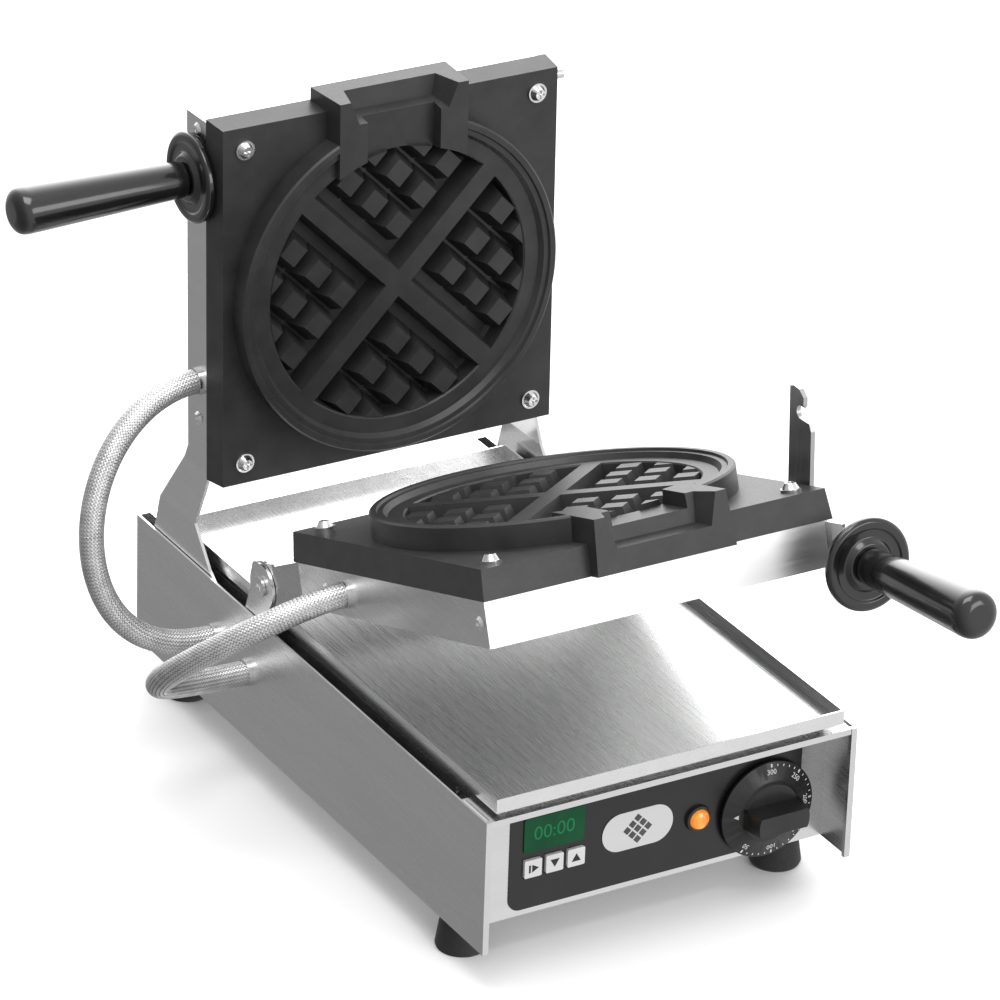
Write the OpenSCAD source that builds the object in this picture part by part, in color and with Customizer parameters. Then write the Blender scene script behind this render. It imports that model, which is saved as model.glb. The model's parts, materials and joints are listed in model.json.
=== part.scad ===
// Electric waffle baker with two tilting stud plates on a stainless base.
// Millimetres, +Z up, the front faces -Y, left is -X.
// Plate geometry is drawn in a hinge frame: the origin is on the hinge axis,
// -Y runs from the hinge to the free edge and +Z is the plate normal when the
// pair lies flat and closed.

/* [Base] */
// overall width over the side panels
base_w = 260; // [220:1:320]
// overall depth of the side panels
base_d = 452; // [400:1:520]
// height of the side panels
panel_h = 90; // [70:1:120]
// stainless sheet thickness
sheet_t = 1.5; // [1:0.1:2]
// setback of the control panel behind the side panel edges
recess = 31; // [15:1:50]
// height of the rubber feet below the panels
foot_h = 26; // [15:1:40]

/* [Drip pan] */
// gap between the side panel outside and the pan wall
pan_inset = 8.4; // [7.9:0.1:12]
// height of the pan walls above the side panels
pan_wall_h = 12.4; // [6:0.1:20]
// distance from the panel front edge to the pan's rear wall
pan_rear = 412.6; // [380:0.1:430]

/* [Plates] */
// tilt of the lower half in this pose
lower_tilt = 19.02; // [0:0.01:27]
// opening angle between the two halves in this pose
opening = 72.25; // [0:0.01:76]
// width of each casting at its face
plate_w = 238; // [200:1:260]
// length of each casting at its face, hinge edge to free edge
plate_l = 241; // [200:1:260]
// thickness of the casting behind its face
plate_t = 19; // [12:0.5:25]
// rim height above the casting face
rim_h = 15.4; // [10:0.1:20]
// diameter of the round baking basin, the waffle's size
basin_dia = 182; // [150:1:190]
// depth of the basin floor below the rim
basin_depth = 20.5; // [12:0.5:22]
// spacing of the studs
stud_pitch = 24.6; // [20:0.1:30]
// distance from the cross centreline to the first row of studs
stud_first = 28; // [20:0.5:34]
// width of the dividing cross at its top
divider_w = 12.5; // [6:0.5:14]
// depth of the sheet housings behind the castings
housing_h = 29; // [20:1:40]

/* [Handles] */
// flange diameter of the handles
flange_dia = 58; // [40:1:70]
// grip length in front of the flange
grip_l = 118; // [80:1:150]
// grip diameter at the free end
grip_dia = 30; // [24:0.5:36]

/* [Controls] */
// diameter of the thermostat dial
dial_dia = 65; // [45:1:75]
// side of the square keys
key_side = 12; // [8:0.5:16]

/* [Hidden] */
$fn = 64;
eps = 0.01;

// base heights
z_bottom = foot_h;
z_top = foot_h + panel_h;
pan_top = z_top + pan_wall_h;
half_w = base_w / 2;
inner_w = half_w - sheet_t;
pan_half = half_w - pan_inset;
pan_t = 1.2;
pan_front = 3.2;
pan_z = z_top + 3;

// hinge frame
hinge_y = 286.2;
hinge_z = 139.9;
hinge_gap = 37.4;
parting = 52.4;
face_v = parting - rim_h - 0.2;
back_v = face_v - plate_t;
floor_v = back_v - housing_h;
rim_v = face_v + rim_h;
basin_v = rim_v - basin_depth;
centre_y = -hinge_gap - plate_l / 2;
plate_front = -hinge_gap - plate_l;
draft = 1.8;
rim_r = 112.5;
basin_r = basin_dia / 2;
ledge_v = rim_v - 5;
stud_base = 23.4;
stud_top = 13.5;
stud_h = 15;
spout_half = 48;
spout_reach = 10;
screw_dx = 104;
screw_dy = 106;

// housings
house_half = 117;
house_rear = -39.5;
house_front = -276.5;
house_t = 1.2;
arm_t = 2;
arm_in = house_half;
pivot_r = 4;
running = 0.05;
upper_plane = 126;
lower_plane = 123.6;
bracket_plane = pan_half;

// conduits
conduit_r = 8;
exit_y = -98;
exit_v = (floor_v + back_v) / 2;
gland_upper = [344, 78];
gland_lower = [299, 74];
rings = 56;
sides = 12;
hose_start = -arm_in - arm_t - 1.2;
hose_end = -half_w - 1.2;
upper_route = [[-35, 0, 0], [-110, -10, -20], [-110, 0, 10], [-45, 0, 0]];
lower_route = [[-45, 0, 0], [-110, 10, -35], [-125, 0, 5], [-35, 0, 0]];

// latch
latch_y = -234;
latch_v = 3;
latch_reach = 80.8;
latch_rest = 15.6;
latch_turn = 11.7;
latch_in = 122.5;
latch_t = 3;
pin_r = 3.5;
pin_y = latch_y - latch_reach * sin(latch_rest + latch_turn);
pin_v = latch_v + latch_reach * cos(latch_rest + latch_turn);

// front panel layout
face_y = recess;
overlay_t = 0.8;
key_x = [-79.5, -64.5, -49.5];
key_z = 58;
dial_x = 85;
dial_z = 57.5;
lamp_x = 37;
lamp_z = 62;

// the frame origin is the bottom centre of the whole part
frame_x = -46.437;
frame_y = 169.251;

steel = [0.72, 0.72, 0.73];
bright = [0.85, 0.85, 0.86];
iron = [0.1, 0.1, 0.1];
black = [0.03, 0.03, 0.03];
rubber = [0.06, 0.06, 0.06];
white = [0.9, 0.9, 0.9];
green = [0.05, 0.3, 0.15];
amber = [1, 0.55, 0.1];
board = [0.05, 0.35, 0.15];
wool = [0.85, 0.8, 0.7];
bakelite = [0.75, 0.7, 0.6];

// ---- placing ----

// Moves the working frame so the origin is the part's bottom centre.
module placed() {
    translate([-frame_x, -frame_y, 0])
        children();
}

// Hinge frame of the lower half.
module lower_frame() {
    placed()
        translate([0, hinge_y, hinge_z])
            rotate([-lower_tilt, 0, 0])
                children();
}

// Hinge frame of the upper half, which closes onto the lower one.
module upper_frame() {
    placed()
        translate([0, hinge_y, hinge_z])
            rotate([-lower_tilt - opening, 0, 0])
                children();
}

// Turns a part drawn for the lower plate over onto the upper plate.
module turned_over() {
    translate([0, 0, 2 * parting])
        mirror([0, 0, 1])
            children();
}

// Mirrors a left-hand part to the right.
module right_hand() {
    mirror([1, 0, 0])
        children();
}

// Solid cylinder along X from x0 to x1.
module rod_x(r, x0, x1) {
    translate([x0, 0, 0])
        rotate([0, 90, 0])
            cylinder(r = r, h = x1 - x0);
}

// Solid cylinder along +Y from y0 to y1.
module rod_y(r, y0, y1) {
    translate([0, y0, 0])
        rotate([-90, 0, 0])
            cylinder(r = r, h = y1 - y0);
}

// Box given by two corners.
module block(a, b) {
    translate(a)
        cube(b - a);
}

// Rectangle with rounded corners, centred.
module round_rect(w, h, r) {
    union() {
        square([w - 2 * r, h], center = true);
        square([w, h - 2 * r], center = true);
        for (sx = [-1, 1], sy = [-1, 1])
            translate([sx * (w / 2 - r), sy * (h / 2 - r)])
                circle(r = r);
    }
}

// Four-sided frustum between two rectangles.
module frustum(w0, l0, z0, w1, l1, z1) {
    polyhedron(
        points = [
            [-w0 / 2, -l0 / 2, z0], [w0 / 2, -l0 / 2, z0],
            [w0 / 2, l0 / 2, z0], [-w0 / 2, l0 / 2, z0],
            [-w1 / 2, -l1 / 2, z1], [w1 / 2, -l1 / 2, z1],
            [w1 / 2, l1 / 2, z1], [-w1 / 2, l1 / 2, z1]
        ],
        faces = [
            [0, 1, 2, 3], [7, 6, 5, 4], [4, 5, 1, 0],
            [5, 6, 2, 1], [6, 7, 3, 2], [7, 4, 0, 3]
        ]
    );
}

// Six-sided solid from its bottom and top corners, each anticlockwise from above.
module wedge(p) {
    polyhedron(
        points = p,
        faces = [
            [0, 1, 2], [0, 2, 3], [6, 5, 4], [7, 6, 4],
            [4, 5, 1], [4, 1, 0], [5, 6, 2], [5, 2, 1],
            [6, 7, 3], [6, 3, 2], [7, 4, 0], [7, 0, 3]
        ]
    );
}

// Extrudes a (y, z) outline along X from x0 to x1.
module plate_x(x0, x1) {
    translate([x0, 0, 0])
        rotate([90, 0, 90])
            linear_extrude(height = x1 - x0)
                children();
}

// Extrudes an (x, z) outline along +Y from y0 to y1.
module plate_y(y0, y1) {
    translate([0, y1, 0])
        rotate([90, 0, 0])
            linear_extrude(height = y1 - y0)
                children();
}

// ---- base ----

module bottom_plate() {
    color(steel)
        placed()
            difference() {
                block([-inner_w, face_y, z_bottom], [inner_w, base_d - sheet_t, z_bottom + sheet_t]);
                for (i = [0 : 6])
                    block(
                        [-50, 160 + 24 * i, z_bottom - 1],
                        [50, 166 + 24 * i, z_bottom + sheet_t + 1]
                    );
                for (sx = [-1, 1], y = [55, 415])
                    translate([sx * 112, y, z_bottom - 1])
                        cylinder(r = 2.5, h = sheet_t + 2);
            }
}

// Side panel with a hem behind its front edge.
module side_panel() {
    block([-half_w, 0, z_bottom], [-inner_w, base_d, z_top]);
    block([-inner_w, 0, z_bottom], [-inner_w + 2.5, 3, z_top]);
}

module side_panel_left() {
    color(steel)
        placed()
            difference() {
                side_panel();
                for (g = [gland_upper, gland_lower])
                    translate([0, g[0], g[1]])
                        rod_x(6, -half_w - 1, -inner_w + 1);
            }
}

module side_panel_right() {
    color(steel)
        placed()
            right_hand()
                side_panel();
}

// Control panel with its top lip, which ends flush with the side panels.
module front_panel() {
    color(steel)
        placed()
            difference() {
                union() {
                    block([-inner_w, face_y, z_bottom + sheet_t], [inner_w, face_y + sheet_t, z_top]);
                    block([-126, 0.5, z_top - sheet_t], [126, face_y, z_top]);
                    block([-126, 0.5, z_top - 4], [126, 0.5 + sheet_t, z_top - sheet_t]);
                }
                for (x = key_x)
                    block(
                        [x - key_side / 2 - 0.4, face_y - 1, key_z - key_side / 2 - 0.4],
                        [x + key_side / 2 + 0.4, face_y + 3, key_z + key_side / 2 + 0.4]
                    );
                translate([dial_x, 0, dial_z])
                    rod_y(5, face_y - 1, face_y + 3);
                translate([lamp_x, 0, lamp_z])
                    rod_y(6, face_y - 1, face_y + 3);
            }
}

module rear_panel() {
    color(steel)
        placed()
            difference() {
                block([-inner_w, base_d - sheet_t, z_bottom], [inner_w, base_d, z_top]);
                for (i = [0 : 7])
                    block(
                        [-70 + 20 * i, base_d - 3, 60],
                        [-64 + 20 * i, base_d + 1, 98]
                    );
                translate([90, 0, 50])
                    rod_y(8, base_d - 3, base_d + 1);
            }
}

// Flat strip that closes the base behind the pan.
module rear_cover() {
    color(steel)
        placed()
            union() {
                block([-pan_half, pan_rear + 0.4, z_top - sheet_t], [pan_half, base_d - sheet_t, z_top]);
                block([-pan_half, pan_rear + 0.4, z_top], [pan_half, pan_rear + 1.6, z_top + 5]);
            }
}

// Inner walls and deck with the pan's support; the side panels close the hinge channels.
module inner_chassis() {
    color(steel)
        placed()
            union() {
                block(
                    [-pan_half, face_y + sheet_t, z_top - sheet_t],
                    [pan_half, pan_rear, z_top]
                );
                difference() {
                    block([-pan_half + 7, 14, z_top], [pan_half - 7, pan_rear - 6, pan_z]);
                    block([-pan_half + 19, 26, z_top - 1], [pan_half - 19, pan_rear - 18, pan_z + 1]);
                }
                for (sx = [-1, 1])
                    block(
                        [sx * (pan_half - sheet_t / 2) - sheet_t / 2, face_y + 20, z_bottom + sheet_t],
                        [sx * (pan_half - sheet_t / 2) + sheet_t / 2, pan_rear, z_top - sheet_t]
                    );
            }
}

// Shallow pan on the deck's support frame.
module drip_pan() {
    color(bright)
        placed()
            difference() {
                block([-pan_half, pan_front, pan_z], [pan_half, pan_rear, pan_top]);
                block(
                    [-pan_half + pan_t, pan_front + pan_t, pan_z + pan_t],
                    [pan_half - pan_t, pan_rear - pan_t, pan_top + 1]
                );
            }
}

module hinge_bracket() {
    difference() {
        plate_x(-bracket_plane - 1.6, -bracket_plane)
            union() {
                translate([hinge_y, hinge_z])
                    circle(r = 12.5);
                translate([hinge_y - 12.5, 40])
                    square([25, hinge_z - 40]);
            }
        translate([0, hinge_y, hinge_z])
            rod_x(pivot_r, -half_w, -110);
    }
}

module hinge_bracket_left() {
    color(steel)
        placed()
            hinge_bracket();
}

module hinge_bracket_right() {
    color(steel)
        placed()
            right_hand()
                hinge_bracket();
}

// Socket-head pivot bolt with its nut inside the bracket.
module pivot_bolt() {
    difference() {
        union() {
            rod_x(pivot_r, -half_w + 1.6, -114);
            rod_x(6.5, -half_w, -half_w + 1.8);
        }
        rotate([0, 90, 0])
            translate([0, 0, -half_w - 1])
                cylinder(r = 2.6, h = 2.4, $fn = 6);
    }
    difference() {
        rotate([0, 90, 0])
            translate([0, 0, -bracket_plane])
                cylinder(r = 7.2, h = 6, $fn = 6);
        rod_x(pivot_r - eps, -half_w, -110);
    }
}

module pivot_bolts() {
    color(bright)
        placed()
            translate([0, hinge_y, hinge_z]) {
                pivot_bolt();
                right_hand()
                    pivot_bolt();
            }
}

// Bell-shaped foot around a screw.
module rubber_feet() {
    color(rubber)
        placed()
            for (sx = [-1, 1], y = [55, 415])
                translate([sx * 112, y, 0])
                    difference() {
                        rotate_extrude()
                            polygon([
                                [2.6, 4], [10.5, 4], [10.5, 0], [15.6, 0],
                                [16.5, 2], [14.2, 17], [11, foot_h], [2.6, foot_h]
                            ]);
                        translate([0, 0, -1])
                            cylinder(r = 8, h = 13);
                    }
}

module foot_screws() {
    color(bright)
        placed()
            for (sx = [-1, 1], y = [55, 415])
                translate([sx * 112, y, 0]) {
                    translate([0, 0, 9])
                        cylinder(r = 4.5, h = 3);
                    translate([0, 0, 12])
                        cylinder(r = 2.5, h = foot_h - 5);
                }
}

// ---- controls ----

module control_overlay() {
    color(black)
        placed()
            difference() {
                translate([8, 0, 70])
                    plate_y(face_y - overlay_t, face_y)
                        round_rect(206, 80, 8);
                for (x = key_x)
                    block(
                        [x - key_side / 2 - 0.4, face_y - 2, key_z - key_side / 2 - 0.4],
                        [x + key_side / 2 + 0.4, face_y + 1, key_z + key_side / 2 + 0.4]
                    );
                translate([dial_x, 0, dial_z])
                    rod_y(5, face_y - 2, face_y + 1);
                translate([lamp_x, 0, lamp_z])
                    rod_y(6, face_y - 2, face_y + 1);
            }
}

module display_window() {
    color(green)
        placed()
            translate([-65, 0, 80.5])
                plate_y(face_y - overlay_t - 0.8, face_y - overlay_t)
                    round_rect(42, 23.5, 1.5);
}

module timer_board() {
    color(board)
        placed()
            union() {
                block([-100, 40, 46], [-20, 41.6, 98]);
                block([-88, 41.6, 72], [-42, 47, 90]);
                translate([-32, 0, 60])
                    rod_y(6, 41.6, 54);
                for (x = [-97, -26], z = [48, 92])
                    block([x, face_y + sheet_t, z], [x + 3, 40, z + 3]);
            }
}

module key_cap(x) {
    color(white)
        placed()
            translate([x, 0, key_z])
                plate_y(face_y - 2.6, face_y + 5)
                    round_rect(key_side, key_side, 1);
}

module key_start() {
    key_cap(key_x[0]);
}

module key_down() {
    key_cap(key_x[1]);
}

module key_up() {
    key_cap(key_x[2]);
}

module name_plate() {
    color(bright)
        placed()
            translate([-6, 0, 66])
                plate_y(face_y - overlay_t - 0.6, face_y - overlay_t)
                    round_rect(50, 26, 12.9);
}

module pilot_lens() {
    color(amber)
        placed()
            translate([lamp_x, face_y - overlay_t, lamp_z])
                rotate([90, 0, 0])
                    rotate_extrude()
                        polygon([
                            [0, -16], [5.5, -16], [5.5, 0], [6.6, 0],
                            [6.6, 3], [5.6, 4.6], [3.4, 5.8], [0, 6.2]
                        ]);
}

module pilot_bezel() {
    color(black)
        placed()
            translate([lamp_x, face_y - overlay_t, lamp_z])
                rotate([90, 0, 0])
                    rotate_extrude()
                        polygon([[6.8, 0], [9, 0], [8.4, 2.2], [6.8, 2.6]]);
}

module thermostat_body() {
    color(bakelite)
        placed()
            translate([dial_x, 0, dial_z])
                difference() {
                    union() {
                        rod_y(18, face_y + sheet_t + 1, face_y + 30);
                        block([-22, face_y + sheet_t, -8], [22, face_y + sheet_t + 2, 8]);
                        rod_y(4.6, face_y - 0.6, face_y + 6);
                    }
                    rod_y(3.05, face_y - 2, face_y + 20);
                }
}

module thermostat_knob() {
    color(black)
        placed()
            translate([dial_x, face_y - overlay_t - 1, dial_z])
                rotate([90, 0, 0])
                    difference() {
                        union() {
                            rotate_extrude()
                                polygon([
                                    [0, 0], [dial_dia / 2 - 1, 0], [dial_dia / 2, 1.2],
                                    [dial_dia / 2, 3], [21, 5.5], [19, 8], [0, 8]
                                ]);
                            intersection() {
                                block([-19.5, -6.5, 7], [19.5, 6.5, 23]);
                                cylinder(r1 = 22, r2 = 18, h = 23);
                            }
                        }
                        translate([0, 0, -1])
                            cylinder(r = 3, h = 13);
                    }
}

module knob_shaft() {
    color(bright)
        placed()
            translate([dial_x, 0, dial_z])
                rod_y(3, face_y - overlay_t - 13, face_y + 16);
}

module cable_gland() {
    color(black)
        placed()
            translate([90, 0, 50])
                difference() {
                    union() {
                        rod_y(8, base_d - sheet_t - 6, base_d);
                        rod_y(12, base_d, base_d + 6);
                        rod_y(9.5, base_d + 6, base_d + 15);
                    }
                    rod_y(4.5, base_d - 10, base_d + 16);
                }
}

module terminal_block() {
    color(white)
        placed()
            difference() {
                block([60, 400, z_bottom + sheet_t], [105, 425, z_bottom + sheet_t + 18]);
                for (i = [0 : 3])
                    translate([66 + 11 * i, 412, z_bottom + 12])
                        cylinder(r = 3, h = 20);
            }
}

module contactor() {
    color(bakelite)
        placed()
            union() {
                block([20, 60, z_bottom + sheet_t], [65, 130, z_bottom + sheet_t + 50]);
                block([26, 52, z_bottom + sheet_t], [59, 138, z_bottom + sheet_t + 24]);
            }
}

// ---- conduits ----

// Collar through a wall along X: a shallow outer cup that holds the hose, and a neck.
module ferrule(outer_x, wall_t) {
    difference() {
        union() {
            rod_x(9, outer_x - 3, outer_x);
            rod_x(5.9, outer_x, outer_x + wall_t + 4);
        }
        rod_x(4.4, outer_x - 20, outer_x + wall_t + 5);
        rod_x(8.15, outer_x - 20, outer_x - 1);
    }
}

module panel_glands() {
    color(bright)
        placed()
            for (g = [gland_upper, gland_lower])
                translate([0, g[0], g[1]])
                    ferrule(-half_w, sheet_t);
}

module lower_ferrule() {
    color(bright)
        lower_frame()
            translate([0, exit_y, exit_v])
                ferrule(-arm_in - arm_t, arm_t + house_t);
}

module upper_ferrule() {
    color(bright)
        upper_frame()
            turned_over()
                translate([0, exit_y, exit_v])
                    ferrule(-arm_in - arm_t, arm_t + house_t);
}

// Point of the plate frame, as a point of the base frame.
function plate_point(p, a) = [
    p[0],
    hinge_y + p[1] * cos(a) + p[2] * sin(a),
    hinge_z - p[1] * sin(a) + p[2] * cos(a)
];

// Point at t of the Bezier curve with any number of control points.
function bezier(p, t) =
    len(p) == 1
        ? p[0]
        : bezier([for (i = [0 : len(p) - 2]) (1 - t) * p[i] + t * p[i + 1]], t);

function unit(v) = v / norm(v);

// Round hose from a to b; its route is two offsets from a and two from b, and it leaves both ends
// along X.
module hose(a, b, route) {
    control = [a, a + route[0], a + route[1], b + route[2], b + route[3], b];
    pts = [for (i = [0 : rings]) bezier(control, i / rings)];
    points = [
        for (i = [0 : rings])
            let (
                t = i == 0 ? [-1, 0, 0]
                    : i == rings ? [1, 0, 0]
                    : unit(pts[i + 1] - pts[i - 1]),
                side = unit(cross(t, [0, 1, 0])),
                up = cross(side, t)
            )
            for (k = [0 : sides - 1])
                pts[i] + conduit_r * (cos(k * 360 / sides) * side + sin(k * 360 / sides) * up)
    ];
    walls = [
        for (i = [0 : rings - 1], k = [0 : sides - 1])
            let (
                a = i * sides + k,
                b = i * sides + (k + 1) % sides
            )
            each [[a, b, a + sides], [b, b + sides, a + sides]]
    ];
    first = [for (k = [sides - 1 : -1 : 0]) k];
    last = [for (k = [0 : sides - 1]) rings * sides + k];
    polyhedron(points = points, faces = concat(walls, [first], [last]));
}

module conduit_upper() {
    a = plate_point([hose_start, exit_y, 2 * parting - exit_v], lower_tilt + opening);
    b = [hose_end, gland_upper[0], gland_upper[1]];
    color(bright)
        placed()
            hose(a, b, upper_route);
}

module conduit_lower() {
    a = plate_point([hose_start, exit_y, exit_v], lower_tilt);
    b = [hose_end, gland_lower[0], gland_lower[1]];
    color(bright)
        placed()
            hose(a, b, lower_route);
}

// ---- plates, drawn for the lower half ----

// Rim turned about the basin's centre: outer ridge, lower ridge and inner ledge.
module rim_solid() {
    rotate_extrude()
        polygon([
            [0, back_v + 1], [rim_r, back_v + 1], [rim_r, rim_v - 1.2], [rim_r - 1.2, rim_v],
            [rim_r - 4.6, rim_v], [rim_r - 5.4, rim_v - 1.6], [rim_r - 8.6, rim_v - 1.6],
            [rim_r - 11, ledge_v], [0, ledge_v]
        ]);
}

module basin_cut() {
    rotate_extrude()
        polygon([
            [0, basin_v], [basin_r - 3, basin_v], [basin_r - 1, basin_v + 3],
            [basin_r, ledge_v - 1], [basin_r + 1, ledge_v], [basin_r + 1, rim_v + 1],
            [0, rim_v + 1]
        ]);
}

module studs() {
    intersection() {
        for (q = [0 : 3], i = [0 : 2], j = [0 : 2])
            if (i + j < 4)
                rotate([0, 0, 45 + 90 * q])
                    translate([stud_first + i * stud_pitch, stud_first + j * stud_pitch, 0])
                        frustum(
                            stud_base, stud_base, basin_v - 1,
                            stud_top, stud_top, basin_v + stud_h
                        );
        translate([0, 0, basin_v - 2])
            cylinder(r = basin_r, h = basin_depth);
    }
}

// Cross bars with sloped sides, level with the rim's ledge.
module dividers() {
    for (a = [45, 135])
        rotate([0, 0, a])
            frustum(
                2 * basin_r + 4, divider_w + 7, basin_v - 1,
                2 * basin_r + 4, divider_w, ledge_v
            );
}

// Half of the filling spout: a block with a stepped, flared trough.
module spout_block() {
    translate([0, (plate_front - spout_reach + centre_y - 70) / 2, 0])
        frustum(
            2 * spout_half, -plate_front + spout_reach + centre_y - 70, back_v,
            2 * spout_half - 5, -plate_front + spout_reach + centre_y - 71, rim_v
        );
}

module spout_cut() {
    mouth = plate_front - spout_reach;
    translate([0, centre_y - basin_r, 0])
        block([-26, -(centre_y - basin_r - plate_front) - 3, rim_v - 9], [26, 12, rim_v + 1]);
    wedge([
        [-33, mouth - 1, rim_v - 20], [33, mouth - 1, rim_v - 20],
        [29, mouth + 13, rim_v - 18], [-29, mouth + 13, rim_v - 18],
        [-39, mouth - 1, rim_v + 1], [39, mouth - 1, rim_v + 1],
        [32, mouth + 16, rim_v + 1], [-32, mouth + 16, rim_v + 1]
    ]);
}

module casting() {
    difference() {
        union() {
            translate([0, centre_y, 0])
                frustum(
                    plate_w + 2 * draft, plate_l + 2 * draft, back_v,
                    plate_w, plate_l, face_v
                );
            translate([0, centre_y, 0])
                rim_solid();
            spout_block();
        }
        translate([0, centre_y, 0])
            basin_cut();
        spout_cut();
        for (sx = [-1, 1], sy = [-1, 1])
            translate([sx * screw_dx, centre_y + sy * screw_dy, back_v - 1])
                cylinder(r = 2.5, h = plate_t + 2);
    }
    translate([0, centre_y, 0]) {
        studs();
        dividers();
    }
}

module housing() {
    difference() {
        block([-house_half, house_front, floor_v], [house_half, house_rear, back_v]);
        block(
            [-house_half + house_t, house_front + house_t, floor_v + house_t],
            [house_half - house_t, house_rear - house_t, back_v + 1]
        );
        translate([0, exit_y, exit_v])
            rod_x(6, -house_half - 1, -house_half + 3);
    }
}

module heater() {
    translate([0, centre_y, back_v - 4.2]) {
        rotate([0, 0, 105])
            rotate_extrude(angle = 330)
                translate([70, 0])
                    circle(r = 4);
        for (a = [105, 75])
            rotate([0, 0, a])
                translate([70, 0, 0])
                    rotate([0, 0, 90 - a])
                        rotate([-90, 0, 0])
                            cylinder(r = 3, h = 24);
    }
}

module clamp_plate() {
    translate([0, centre_y, back_v - 11])
        difference() {
            cylinder(r = 88, h = 2);
            translate([0, 0, -1])
                cylinder(r = 40, h = 4);
            for (a = [0 : 60 : 300])
                rotate([0, 0, a])
                    translate([54, 0, -1])
                        cylinder(r = 3, h = 4);
        }
}

module insulation() {
    block(
        [-house_half + 6, house_front + 6, floor_v + house_t],
        [house_half - 6, house_rear - 6, floor_v + house_t + 10]
    );
}

// Pan-head screw with its standoff, in all four plate corners.
module plate_screws() {
    for (sx = [-1, 1], sy = [-1, 1])
        translate([sx * screw_dx, centre_y + sy * screw_dy, face_v])
            difference() {
                union() {
                    cylinder(r = 6.4, h = 1.6);
                    translate([0, 0, 1.6])
                        cylinder(r1 = 5.4, r2 = 3.4, h = 3.6);
                    translate([0, 0, -plate_t])
                        cylinder(r = 2.5, h = plate_t);
                }
                translate([-3, -0.6, 3.6])
                    cube([6, 1.2, 3]);
                translate([-0.6, -3, 3.6])
                    cube([1.2, 6, 3]);
            }
}

// Button-head screw in a side plate, its head towards -X.
module side_screw(y, v) {
    translate([-arm_in - arm_t, y, v])
        rotate([0, -90, 0])
            difference() {
                cylinder(r1 = 4.6, r2 = 3, h = 1.8);
                translate([0, 0, 1])
                    cylinder(r = 1.6, h = 2, $fn = 6);
            }
}

// Sheet that runs along the housing and joggles out to an outer plane.
module joggle_sheet(outer, y_in, y_out, z0, z1) {
    translate([0, 0, z0])
        linear_extrude(height = z1 - z0)
            polygon([
                [-arm_in, house_front], [-arm_in, y_in], [-outer, y_out], [-outer, 70],
                [-outer - arm_t, 70], [-outer - arm_t, y_out],
                [-arm_in - arm_t, y_in], [-arm_in - arm_t, house_front]
            ]);
}

// Left lower arm: side sheet of the housing and the hinge ear with its squared top.
module lower_arm() {
    difference() {
        union() {
            intersection() {
                joggle_sheet(lower_plane, -38, -14, -30, 40);
                plate_x(-half_w, -110)
                    polygon([
                        [house_front, floor_v + 0.2], [house_front, back_v],
                        [-40, back_v], [-12, 13], [-4, 10], [-4, -8], [-12, floor_v + 0.2]
                    ]);
            }
            plate_x(-lower_plane - arm_t, -lower_plane) {
                circle(r = 16);
                translate([-14, 0])
                    square([23, 15]);
                translate([9, 9])
                    circle(r = 6);
            }
        }
        rod_x(pivot_r + running, -half_w - 1, -110);
        translate([0, exit_y, exit_v])
            rod_x(6, -half_w - 1, -110);
    }
}

// Left upper arm: side sheet, flared heel in the channel and the hinge tab.
module upper_arm() {
    top = 2 * parting - floor_v - 0.2;
    low = 2 * parting - back_v;
    difference() {
        union() {
            intersection() {
                joggle_sheet(upper_plane, -38, -5, 60, 160);
                plate_x(-half_w, -110)
                    polygon([
                        [house_front, low], [house_front, top], [-48, top],
                        [-5, 137.5], [-5, 90], [-39, low]
                    ]);
            }
            plate_x(-upper_plane - arm_t, -upper_plane)
                union() {
                    circle(r = 15);
                    polygon([
                        [-5, 137.5], [21, 146], [38, 146], [50, 128], [40, 112], [40, 4],
                        [30, -10], [0, -12], [0, 12], [26, 22], [26, 62], [20, 70], [-5, 90]
                    ]);
                }
        }
        rod_x(pivot_r + running, -half_w - 1, -110);
        translate([0, exit_y, 2 * parting - exit_v])
            rod_x(6, -half_w - 1, -110);
    }
}

// ---- lower half ----

module lower_casting() {
    color(iron)
        lower_frame()
            casting();
}

module lower_housing() {
    color(bright)
        lower_frame()
            difference() {
                housing();
                translate([0, latch_y, latch_v])
                    rod_x(pivot_r, house_half - 3, house_half + 1);
            }
}

module lower_heater() {
    color(bakelite)
        lower_frame()
            heater();
}

module lower_clamp_plate() {
    color(steel)
        lower_frame()
            clamp_plate();
}

module lower_insulation() {
    color(wool)
        lower_frame()
            insulation();
}

module lower_arm_left() {
    color(bright)
        lower_frame()
            lower_arm();
}

module lower_arm_right() {
    color(bright)
        lower_frame()
            difference() {
                right_hand()
                    lower_arm();
                translate([0, latch_y, latch_v])
                    rod_x(pivot_r, 110, half_w);
            }
}

module lower_plate_screws() {
    color(bright)
        lower_frame()
            plate_screws();
}

module lower_side_screws() {
    color(bright)
        lower_frame() {
            side_screw(-268, exit_v);
            side_screw(-72, exit_v);
            right_hand()
                side_screw(-72, exit_v);
            translate([arm_t, 0, 0])
                right_hand()
                    side_screw(-262, exit_v);
        }
}

module lower_probe() {
    color(bright)
        lower_frame()
            translate([0, -130, back_v - 3.2])
                rod_x(3, -112, -80);
}

// Handle frame: +Z runs out along the lower handle's axis.
module handle_frame() {
    translate([125, -311, -9.5])
        rotate([99, 0, -1])
            children();
}

// Bent bracket that carries the lower handle at the right front corner.
module lower_handle_bracket() {
    color(bright)
        lower_frame()
            union() {
                difference() {
                    block([119, -293, floor_v + 0.4], [121, -252, back_v - 2]);
                    handle_frame()
                        block([-40, -40, -19], [40, 40, 10]);
                }
                intersection() {
                    handle_frame()
                        block([-7, -17, -21], [22, 20, -19]);
                    block([100, -320, floor_v + 0.4], [160, -280, back_v - 2]);
                }
            }
}

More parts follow.
